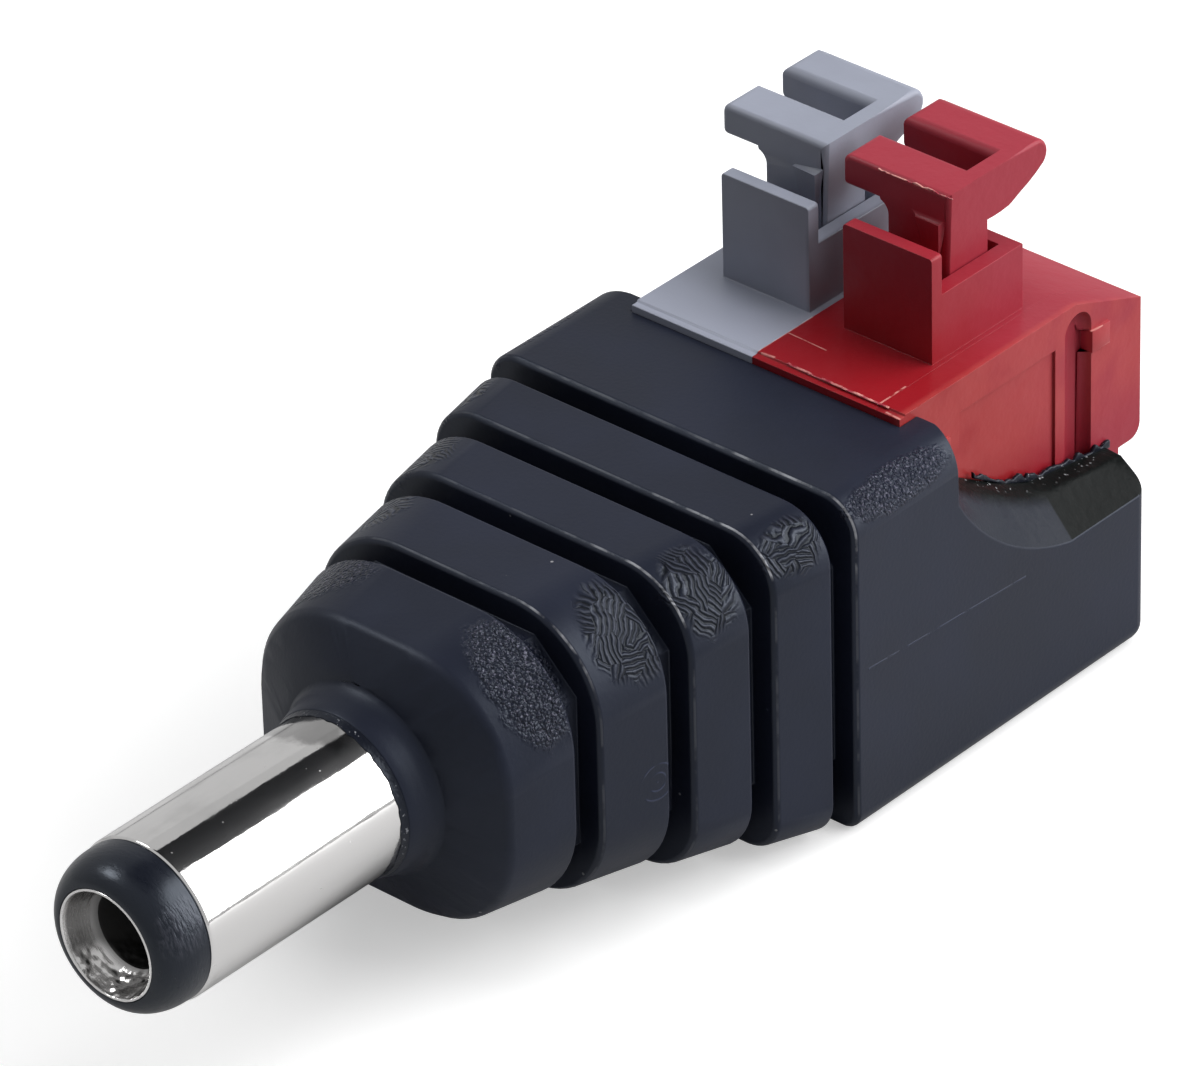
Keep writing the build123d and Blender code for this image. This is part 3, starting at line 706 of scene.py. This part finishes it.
def ragged_strip(name, path, material, height, thickness, grain=1.7, cuts=11):
    """A thin torn strip that stands up from a path in millimetres."""
    least = 0.25
    bm = bmesh.new()
    verts = [bm.verts.new(scaled(point, MM)) for point in path]
    for pair in zip(verts, verts[1:]):
        bm.edges.new(pair)
    bmesh.ops.subdivide_edges(bm, edges=bm.edges[:], cuts=cuts)
    raised = bmesh.ops.extrude_edge_only(bm, edges=bm.edges[:])["geom"]
    for vert in raised:
        if isinstance(vert, bmesh.types.BMVert):
            vert.co.z += height * (least + roughly(vert.co, grain))
    bmesh.ops.recalc_face_normals(bm, faces=bm.faces)
    piece = made_piece(bm, name, material, sharp_angle=60)
    wall = piece.modifiers.new("Wall", "SOLIDIFY")
    wall.thickness = thickness
    wall.offset = 0.0
    rounded(piece, thickness * 0.3)
    return piece


def turned(profile, steps):
    """A solid ring from (radius, y) points in millimetres, spun about the barrel's axis."""
    bm = bmesh.new()
    verts = [bm.verts.new((r * MM, y * MM, 0)) for r, y in profile]
    edges = [bm.edges.new(pair) for pair in zip(verts, verts[1:] + verts[:1])]
    bmesh.ops.spin(
        bm, geom=verts + edges, cent=(0, 0, 0), axis=(0, 1, 0), angle=2 * math.pi, steps=steps,
        use_merge=True)
    bmesh.ops.remove_doubles(bm, verts=bm.verts, dist=0.001 * MM)
    bmesh.ops.recalc_face_normals(bm, faces=bm.faces)
    return bm


def arc(centre, radii, start, end, count):
    """Points on an ellipse's arc, angles in degrees."""
    for i in range(count + 1):
        t = math.radians(start + (end - start) * i / count)
        yield centre[0] + radii[0] * math.cos(t), centre[1] + radii[1] * math.sin(t)


def span(node, axis):
    """Lowest and highest place of a node along one axis, in millimetres."""
    low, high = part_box(node)
    return low[axis] / MM, high[axis] / MM


# Operators


class PLUG_OT_moulding(Operator):
    """Skin the moulded body and add its ragged flash"""

    bl_idname = "plug.moulding"
    bl_label = "Moulded body"
    bl_options = {"REGISTER", "UNDO"}

    def execute(self, context):
        colours, sizes = context.scene.plug_colours, context.scene.plug_sizes
        self.skin(colours, sizes)
        torn = torn_rubber(colours)
        self.pole_flash(torn, sizes)
        self.root_flash(torn, sizes)
        return {"FINISHED"}

    def skin(self, colours, sizes):
        black = black_moulding(colours)
        body = joined_copy("moulded_body")
        body.normal_update()
        soften(body, sharp_edges(body, self.outside, angle=32), sizes.body_edge, segments=2)
        for face in body.faces:
            # Upward faces beside the poles take the second material, which paints shade on them
            face.material_index = int(self.on_ledge(face.calc_center_median() / MM, face.normal))
        piece = made_piece(body, "moulded_body_dressed", black, sharp_angle=50)
        piece.data.materials.append(ledge_rubber())
        shade = piece.modifiers.new("Shading", "WEIGHTED_NORMAL")
        shade.keep_sharp = True
        seated(piece, "black_moulding", "moulded_body")

    @staticmethod
    def outside(middle):
        """Skips the buried pockets, which nothing shows."""
        return not within(middle, BURIED)

    @staticmethod
    def on_ledge(middle, normal):
        """The scooped wall beside each pole and the flat behind it, where they face upwards."""
        return within((abs(middle.x), middle.y, middle.z), LEDGE) and normal.z > 0.3

    def pole_flash(self, material, sizes):
        """A ragged lip along the foot of the red cover."""
        beside_cover = 5.73
        heights = (
            (22.3, 2.2), (23.1, 1.7), (23.9, 1.2), (25.1, 0.72), (26.3, 0.46), (27.3, 0.3), (28.3, 0.14),
            (29.2, 0.0))
        path = [(beside_cover, y, z) for y, z in heights]
        lip = ragged_strip("pole_flash", path, material, sizes.flash_height, sizes.flash_thickness)
        seated(lip, "black_moulding")

    def root_flash(self, material, sizes):
        """A thin skin of rubber round the barrel's root, torn along its front."""
        under = BARREL_R + 0.005
        rim = BARREL_R + 0.03
        torn_from = COLLAR_FACE - 0.05
        fully_torn = 0.15
        profile = [
            (under, COLLAR_FACE), (BARREL_R + 0.1, COLLAR_FACE), (rim + 0.02, COLLAR_FACE - 0.1),
            (rim, COLLAR_FACE - 0.2), (under, COLLAR_FACE - 0.21)]
        skirt = turned(profile, sizes.turn_steps * 2)
        for vert in skirt.verts:
            past = torn_from * MM - vert.co.y
            if past > 0:
                share = min(1.0, past / (fully_torn * MM))
                vert.co.y -= share * sizes.root_flash * roughly(Vector((vert.co.x, 0, vert.co.z)), 1.3)
        seated(made_piece(skirt, "barrel_root_flash", material), "black_moulding")


class PLUG_OT_barrel(Operator):
    """Turn the bright sleeve, the black tip ring and the centre contact"""

    bl_idname = "plug.barrel"
    bl_label = "Barrel"
    bl_options = {"REGISTER", "UNDO"}

    def execute(self, context):
        colours, steps = context.scene.plug_colours, context.scene.plug_sizes.turn_steps
        self.sleeve(colours, steps)
        self.ring(colours, steps)
        self.contact(colours, steps)
        return {"FINISHED"}

    def sleeve(self, colours, steps):
        front, rear = span("barrel_sleeve", 1)
        flange_r = span("barrel_sleeve", 0)[1]
        rim = 0.1
        shank = COLLAR_FACE - 0.02
        flange_front, flange_rear = FLANGE
        profile = [(SLEEVE_BORE_R, front)]
        profile += arc((BARREL_R - rim, front + rim), (rim, rim), -90, 0, 6)
        profile += [(BARREL_R, shank), (SHANK_R, shank), (SHANK_R, flange_front)]
        profile += [(flange_r, flange_front), (flange_r, flange_rear), (SHANK_R, flange_rear)]
        profile += [(SHANK_R, rear), (SLEEVE_BORE_R, rear)]
        piece = made_piece(turned(profile, steps), "barrel_sleeve_turned", nickel(colours))
        seated(piece, "nickel_sleeve", "barrel_sleeve")

    def ring(self, colours, steps):
        front, rear = span("tip_insulator", 1)
        seat = span("barrel_sleeve", 1)[0]
        edge = 0.05
        tube_r = SLEEVE_BORE_R - 0.02
        tube_bore_r = 1.57
        ring_r = BARREL_R - 0.06
        shoulder = seat - 0.35
        funnel_len = 1.0
        profile = [(tube_r, rear), (tube_r, seat), (ring_r - edge, seat), (ring_r, seat - edge)]
        profile += arc((MOUTH_R, shoulder), (ring_r - MOUTH_R, shoulder - front), 0, -90, 24)
        profile += [(tube_bore_r, front + funnel_len), (tube_bore_r, rear)]
        piece = made_piece(turned(profile, steps), "tip_insulator_turned", tip_ring(colours))
        seated(piece, "black_insulator", "tip_insulator")

    def contact(self, colours, steps):
        front, rear = span("centre_contact", 1)
        lip_r = span("centre_contact", 0)[1]
        outer_r = BORE_R + 0.5
        bend = 0.05
        lip = front + 0.03
        axis_r = 0.0001
        funnel_end = front + 2.3
        bore_end = funnel_end + MOUNTS["centre_contact"]["dims"]["length_mm"]
        profile = [(outer_r, front + 1.0), (lip_r, lip)]
        profile += arc((lip_r - bend, lip), (bend, bend), 0, -180, 6)
        profile += [(radius, front + depth) for radius, depth in FLARE]
        profile += [(BORE_R + 0.06, funnel_end - 0.15), (BORE_R, funnel_end), (BORE_R, bore_end)]
        profile += [(axis_r, bore_end), (axis_r, rear), (TAIL_R, rear), (TAIL_R, TAIL_START)]
        profile += [(outer_r, TAIL_START)]
        piece = made_piece(turned(profile, steps), "centre_contact_turned", contact_metal(colours))
        seated(piece, "plated_contact", "centre_contact")


class PLUG_OT_terminal(Operator):
    """Round the edges of the two poles, their levers and the end cover"""

    bl_idname = "plug.terminal"
    bl_label = "Terminal"
    bl_options = {"REGISTER", "UNDO"}

    def execute(self, context):
        colours, sizes = context.scene.plug_colours, context.scene.plug_sizes
        grey, red, flash = grey_plastic(colours), red_plastic(colours), red_flash(colours)

        def pole(bm):
            soften(bm, sharp_edges(bm, self.plate_corners), sizes.plate_corner, segments=4)
            self.front_lip(bm, sizes)

        def cover(bm):
            self.shorten_lug(bm)
            soften(bm, sharp_edges(bm, self.rear_corner), sizes.rear_corner, segments=5)
            self.front_lip(bm, sizes)

        dressed("grey_housing", grey, "grey_plastic", sizes.box_edge, pole)
        dressed("red_housing", red, "red_plastic", sizes.box_edge, pole)
        dressed("end_cover", red, "red_plastic", sizes.box_edge, cover)
        self.lever("grey_lever", grey, "grey_plastic", sizes.lever_edge, sizes.grey_head)
        self.lever("red_lever", red, "red_plastic", sizes.lever_edge, sizes.red_head)
        self.flash_strips(flash)
        return {"FINISHED"}

    def lever(self, node, material, slot_name, neck_width, head_width):
        right = span(node, 0)[1]

        def worn_head(bm):
            edges = sharp_edges(bm, lambda middle: self.head_edge(middle, right))
            soften(bm, edges, head_width, segments=4)

        dressed(node, material, slot_name, neck_width, worn_head, body=node)

    @staticmethod
    def rear_corner(middle):
        return middle.y > TERMINAL_REAR - 0.1 and abs(middle.z - REAR_UNDERSIDE) < 0.05

    @staticmethod
    def plate_corners(middle):
        return middle.z > PLATE_TOP - 0.01 and abs(middle.y - PLATE_MIDDLE) < 0.05

    @staticmethod
    def head_edge(middle, right):
        """On the head, its rounded rear end or the neck's front right edge, but not in the slot."""
        slack = 0.02
        slot_front, slot_rear = HEAD_SLOT
        in_slot = slot_front < middle.y < slot_rear and middle.x < right - 0.1
        on_head = middle.z > HEAD_UNDER - slack and middle.y > HEAD_FRONT - slack
        on_rear = middle.z > HEAD_REAR_FOOT and middle.y > HEAD_REAR
        at_front = abs(middle.y - HEAD_FRONT) < slack
        down_neck = at_front and middle.z > NECK_FOOT and middle.x > right - 0.8
        return (on_head or on_rear or down_neck) and not in_slot

    def shorten_lug(self, bm):
        """Moves the front end of the cover's rear lug back."""
        low, high = LUG_HEIGHTS
        for vert in bm.verts:
            place = vert.co / MM
            if abs(place.y - LUG_FRONT) < 0.01 and low < place.z < high:
                vert.co.y += LUG_SHIFT * MM

    def front_lip(self, bm, sizes):
        """A shallow step down along the terminal's front top edge."""
        near = TERMINAL_FRONT * MM + sizes.lip_width
        slope = sizes.lip_step * 0.4
        for y in (near, near + slope):
            geometry = bm.verts[:] + bm.edges[:] + bm.faces[:]
            bmesh.ops.bisect_plane(
                bm, geom=geometry, plane_co=(0, y, 0), plane_no=(0, 1, 0), dist=0.001 * MM)
        for vert in bm.verts:
            if vert.co.y < near + 0.002 * MM and vert.co.z > (TERMINAL_TOP - 0.01) * MM:
                vert.co.z -= sizes.lip_step

    def flash_strips(self, material):
        """Thin torn edges on the red pole's front and on the red lever's head."""
        path = [(0.85, 19.16, 6.03), (3.0, 19.12, 6.03), (5.0, 19.12, 6.03)]
        front = ragged_strip(
            "red_front_flash", path, material, height=0.05 * MM, thickness=0.09 * MM, grain=2.0, cuts=30)
        seated(front, "red_plastic")
        path = [(x, HEAD_FRONT - 0.01, HEAD_TOP - 0.05) for x in (1.0, 2.4, 4.0)]
        head = ragged_strip(
            "red_head_flash", path, material, height=0.06 * MM, thickness=0.05 * MM, grain=3.0, cuts=30)
        seated(head, "red_plastic", body="red_lever")


class PLUG_OT_inside(Operator):
    """Give the inner metal, leads and solder their finishes"""

    bl_idname = "plug.inside"
    bl_label = "Inner pieces"
    bl_options = {"REGISTER", "UNDO"}

    def execute(self, context):
        colours = context.scene.plug_colours
        finishes = {
            stamped_metal("tinned_metal", colours.tin, 0.28): (
                "sleeve_tag", "centre_tag", "grey_busbar", "red_busbar"),
            stamped_metal("spring_steel", colours.steel, 0.25): (
                "grey_clamp_spring", "red_clamp_spring"),
            stamped_metal("solder", colours.tin, 0.4): (
                "sleeve_tag_solder", "centre_tag_solder", "grey_pin_solder", "red_pin_solder"),
            stamped_metal("tinned_copper", colours.copper, 0.3): ("negative_lead", "positive_lead"),
            soft_plastic("black_jacket", colours.ring, 0.5): ("negative_lead_jacket",),
            soft_plastic("red_jacket", colours.red, 0.5): ("positive_lead_jacket",),
            soft_plastic("washer", PALE_FIBRE, 0.5): ("rear_insulator",),
        }
        for material, nodes in finishes.items():
            for node in nodes:
                mesh = frame["nodes"][node].data
                mesh.materials.clear()
                mesh.materials.append(material)
        return {"FINISHED"}


class PLUG_OT_stage(Operator):
    """Set up the floor, the white surroundings, the softboxes and the camera"""

    bl_idname = "plug.stage"
    bl_label = "Studio"
    bl_options = {"REGISTER", "UNDO"}

    def execute(self, context):
        studio = context.scene.plug_studio
        context.scene.view_settings.view_transform = "Standard"
        self.floor()
        self.world(context.scene, studio)
        self.softbox("key", (0.6, 0.627, 0.5), (0.36, 0.36), studio.key_power)
        self.softbox("left", (-0.64, 0.627, 0.38), (0.36, 0.26), studio.left_power)
        top = self.softbox("top", (-0.1, 0.2, 0.97), (0.3, 0.3), studio.top_power)
        top.visible_glossy = False
        front = self.softbox("front", (-0.56, -0.3, 0.77), (0.09, 0.09), studio.front_power)
        front.visible_diffuse = False
        self.flag()
        self.camera(context.scene, studio)
        return {"FINISHED"}

    def floor(self):
        """A matt floor: mid grey to the plug, white to the camera, paler in reflections."""
        grey, seen_share, mirrored_share, glow = 0.25, 0.6, 0.4, 0.42
        bm = bmesh.new()
        bmesh.ops.create_grid(bm, x_segments=1, y_segments=1, size=1.5)
        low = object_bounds()[0].z
        bmesh.ops.translate(bm, verts=bm.verts, vec=(0, 0, low - 0.01 * MM))
        material = bpy.data.materials.new("floor")
        material.use_nodes = True
        tree = material.node_tree
        shader = tree.nodes["Principled BSDF"]
        shader.inputs["Roughness"].default_value = 0.9
        shader.inputs["Emission Color"].default_value = (1, 1, 1, 1)
        seen = add_node(tree, "ShaderNodeLightPath", output="Is Camera Ray")
        mirrored = add_node(tree, "ShaderNodeLightPath", output="Is Glossy Ray")
        shade = grey + seen * seen_share + mirrored * mirrored_share
        tree.links.new(shade.link, shader.inputs["Base Color"])
        tree.links.new((seen * glow).link, shader.inputs["Emission Strength"])
        made_piece(bm, "floor", material)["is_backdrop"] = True

    def world(self, scene, studio):
        """White to the camera, dimmer in reflections and dimmer still on matt surfaces."""
        world = bpy.data.worlds.new("surroundings")
        scene.world = world
        world.use_nodes = True
        tree = world.node_tree
        background = tree.nodes["Background"]
        background.inputs["Color"].default_value = (1, 1, 1, 1)
        seen = add_node(tree, "ShaderNodeLightPath", output="Is Camera Ray")
        mirrored = add_node(tree, "ShaderNodeLightPath", output="Is Glossy Ray")
        unseen = 1 - seen
        brighter = studio.mirrored - studio.ambient
        strength = seen + unseen * studio.ambient + unseen * mirrored * brighter
        tree.links.new(strength.link, background.inputs["Strength"])

    def softbox(self, name, direction, sides, power, distance=0.35):
        """A rectangular lamp that faces the origin and that the camera doesn't see."""
        lamp = bpy.data.lights.new(name, "AREA")
        lamp.shape = "RECTANGLE"
        lamp.size, lamp.size_y = sides
        lamp.energy = power
        place = bpy.data.objects.new(name, lamp)
        bpy.context.scene.collection.objects.link(place)
        towards = Vector(direction).normalized()
        place.location = towards * distance
        place.rotation_euler = towards.to_track_quat("Z", "Y").to_euler()
        place.visible_camera = False
        return place

    def flag(self):
        """A black card over the plug that only bright metal sees."""
        width, depth = 0.18, 0.5
        middle = (0.004, 0.2, 0.24)
        black = (0.008, 0.009, 0.012, 1)
        bm = bmesh.new()
        bmesh.ops.create_grid(bm, x_segments=1, y_segments=1, size=0.5)
        bmesh.ops.scale(bm, vec=(width, depth, 1), verts=bm.verts)
        bmesh.ops.translate(bm, vec=middle, verts=bm.verts)
        material = bpy.data.materials.new("flag")
        material.use_nodes = True
        material.node_tree.nodes["Principled BSDF"].inputs["Base Color"].default_value = black
        card = made_piece(bm, "flag", material)
        card.visible_camera = False
        card.visible_diffuse = False
        card.visible_shadow = False
        card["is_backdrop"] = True

    def camera(self, scene, studio):
        data = bpy.data.cameras.new("camera")
        data.lens = studio.lens
        data.clip_start = 0.01
        data.clip_end = 10
        camera = bpy.data.objects.new("camera", data)
        scene.collection.objects.link(camera)
        scene.camera = camera
        level = math.cos(studio.elevation)
        back = Vector((
            level * math.sin(studio.azimuth),
            -level * math.cos(studio.azimuth),
            math.sin(studio.elevation)))
        camera.location = Vector(studio.aim) + back * studio.distance
        upright = (-back).to_track_quat("-Z", "Y").to_matrix()
        camera.rotation_euler = (upright @ Matrix.Rotation(studio.roll, 3, "Z")).to_euler()


class PLUG_PT_panel(Panel):
    """Lists the plug's operators and settings"""

    bl_idname = "PLUG_PT_panel"
    bl_label = "Barrel plug"
    bl_space_type = "VIEW_3D"
    bl_region_type = "UI"
    bl_category = "Barrel plug"

    def draw(self, context):
        for operator in STEPS:
            self.layout.operator(operator.bl_idname)
        for group in (context.scene.plug_colours, context.scene.plug_sizes, context.scene.plug_studio):
            column = self.layout.column()
            for name in group.__annotations__:
                column.prop(group, name)


GROUPS = {"plug_colours": PlugColours, "plug_sizes": PlugSizes, "plug_studio": PlugStudio}
STEPS = (PLUG_OT_moulding, PLUG_OT_barrel, PLUG_OT_terminal, PLUG_OT_inside, PLUG_OT_stage)


def register():
    for cls in (*GROUPS.values(), *STEPS, PLUG_PT_panel):
        bpy.utils.register_class(cls)
    for name, group in GROUPS.items():
        setattr(bpy.types.Scene, name, PointerProperty(type=group))


def unregister():
    for name in GROUPS:
        delattr(bpy.types.Scene, name)
    for cls in reversed((*GROUPS.values(), *STEPS, PLUG_PT_panel)):
        bpy.utils.unregister_class(cls)


def main():
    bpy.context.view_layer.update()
    register()
    for step in STEPS:
        area, name = step.bl_idname.split(".")
        getattr(getattr(bpy.ops, area), name)()


if __name__ == "__main__":
    main()
